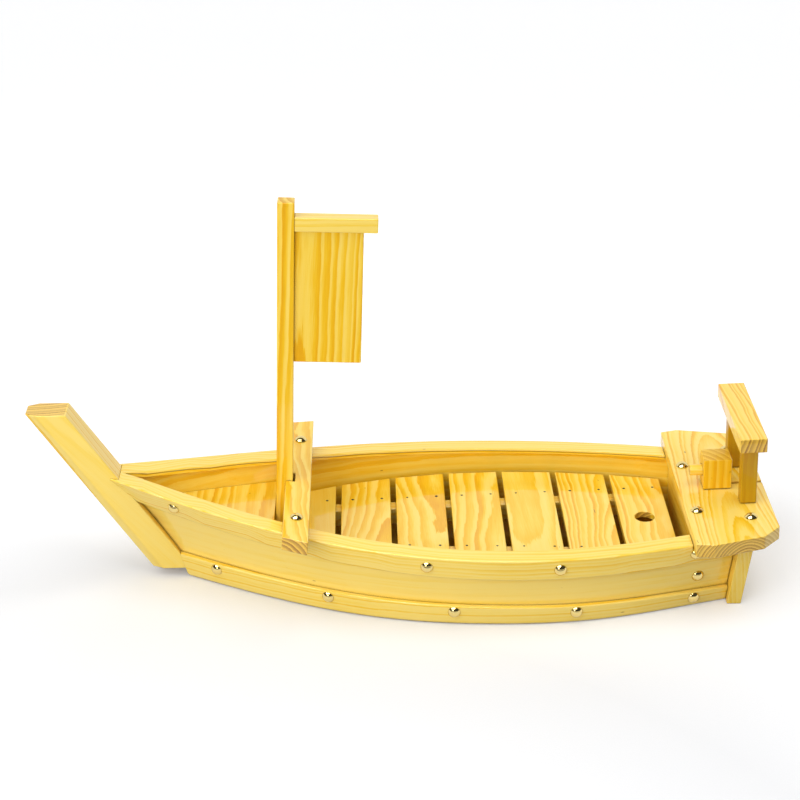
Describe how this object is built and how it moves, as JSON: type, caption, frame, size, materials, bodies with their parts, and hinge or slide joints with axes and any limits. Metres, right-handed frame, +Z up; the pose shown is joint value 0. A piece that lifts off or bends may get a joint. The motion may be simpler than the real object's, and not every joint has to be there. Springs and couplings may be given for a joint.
{
  "type": "sushi boat",
  "caption": "Varnished pine serving boat with a raked stem, bent planked sides, a slatted lift-out floor, a removable mast with a small wooden sail, and a decked stern.",
  "frame": {"origin": "on the ground, under the middle of the boat's length and breadth", "axes": "+X towards the stern, +Y to starboard, +Z up"},
  "size_m": [0.6495, 0.2252, 0.3543],
  "materials": {
    "pine": "satin clear varnish over pale yellow pine with golden grain",
    "brass": "polished dome nail heads"
  },
  "bodies": {
    "hull": {"bow_stem": "pine", "plank_port": "pine", "plank_starboard": "pine", "rail_port": "pine", "rail_starboard": "pine", "wale_port": "pine", "wale_starboard": "pine", "bottom_board": "pine", "bearer_fore": "pine", "bearer_aft": "pine", "foredeck": "pine", "transom": "pine", "stern_bulkhead": "pine", "stern_deck": "pine", "frame_leg_port": "pine", "frame_leg_starboard": "pine", "frame_top": "pine", "tiller_block": "pine", "tiller_peg": "pine", "mast_step": "pine", "thwart": "pine", "nail_rail_port_1": "brass", "nail_rail_port_2": "brass", "nail_rail_port_3": "brass", "nail_rail_port_4": "brass", "nail_rail_starboard_1": "brass", "nail_rail_starboard_2": "brass", "nail_rail_starboard_3": "brass", "nail_rail_starboard_4": "brass", "nail_wale_port_1": "brass", "nail_wale_port_2": "brass", "nail_wale_port_3": "brass", "nail_wale_port_4": "brass", "nail_wale_port_5": "brass", "nail_wale_starboard_1": "brass", "nail_wale_starboard_2": "brass", "nail_wale_starboard_3": "brass", "nail_wale_starboard_4": "brass", "nail_wale_starboard_5": "brass", "nail_plank_port": "brass", "nail_plank_starboard": "brass", "nail_thwart_port": "brass", "nail_thwart_starboard": "brass", "nail_deck_front_port": "brass", "nail_deck_front_starboard": "brass", "nail_deck_aft_port": "brass", "nail_deck_aft_starboard": "brass"},
    "floor": {"slat_1": "pine", "slat_2": "pine", "slat_3": "pine", "slat_4": "pine", "slat_5": "pine", "slat_6": "pine", "slat_7": "pine", "runner_port": "pine", "runner_starboard": "pine"},
    "mast": {"mast": "pine", "yard": "pine", "sail_panel": "pine"}
  },
  "joints": [
    {"name": "floor_lift", "type": "hinge", "parent": "hull", "child": "floor", "pos_m": [-0.08988, 0, 0.0401], "axis": [0, -1, 0], "range_deg": [0, 35]},
    {"name": "mast_lift", "type": "slide", "parent": "hull", "child": "mast", "axis": [0.0384, 0, 0.9993], "range_m": [0, 0.06]}
  ]
}
